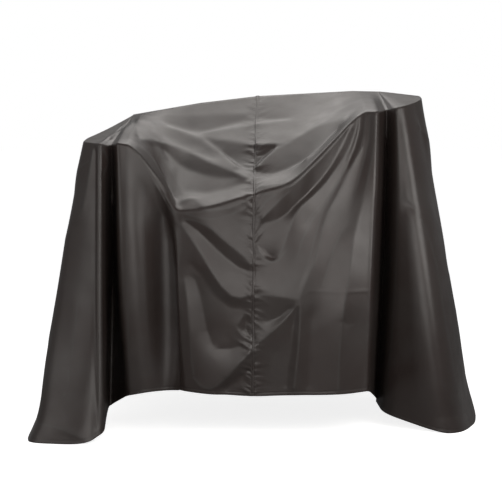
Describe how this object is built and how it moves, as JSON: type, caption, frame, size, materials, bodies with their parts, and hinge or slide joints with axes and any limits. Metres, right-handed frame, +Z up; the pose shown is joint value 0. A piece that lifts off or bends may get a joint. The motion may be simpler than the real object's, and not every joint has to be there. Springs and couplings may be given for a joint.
{
  "type": "drum set cover",
  "caption": "Loose dark nylon dust cover for a drum set, draped with a centre seam, a sloping roof, front folds and corners that reach the floor.",
  "frame": {"origin": "floor below the middle of the draped cover", "axes": "+Z up, the front with its raised hem faces -Y, +X towards the right side as seen from the front"},
  "size_m": [1.6691, 1.3442, 1.2549],
  "materials": {
    "nylon": "dark charcoal woven nylon with a soft gloss"
  },
  "bodies": {
    "root": {"panel_left": "nylon", "panel_right": "nylon"}
  },
  "joints": []
}
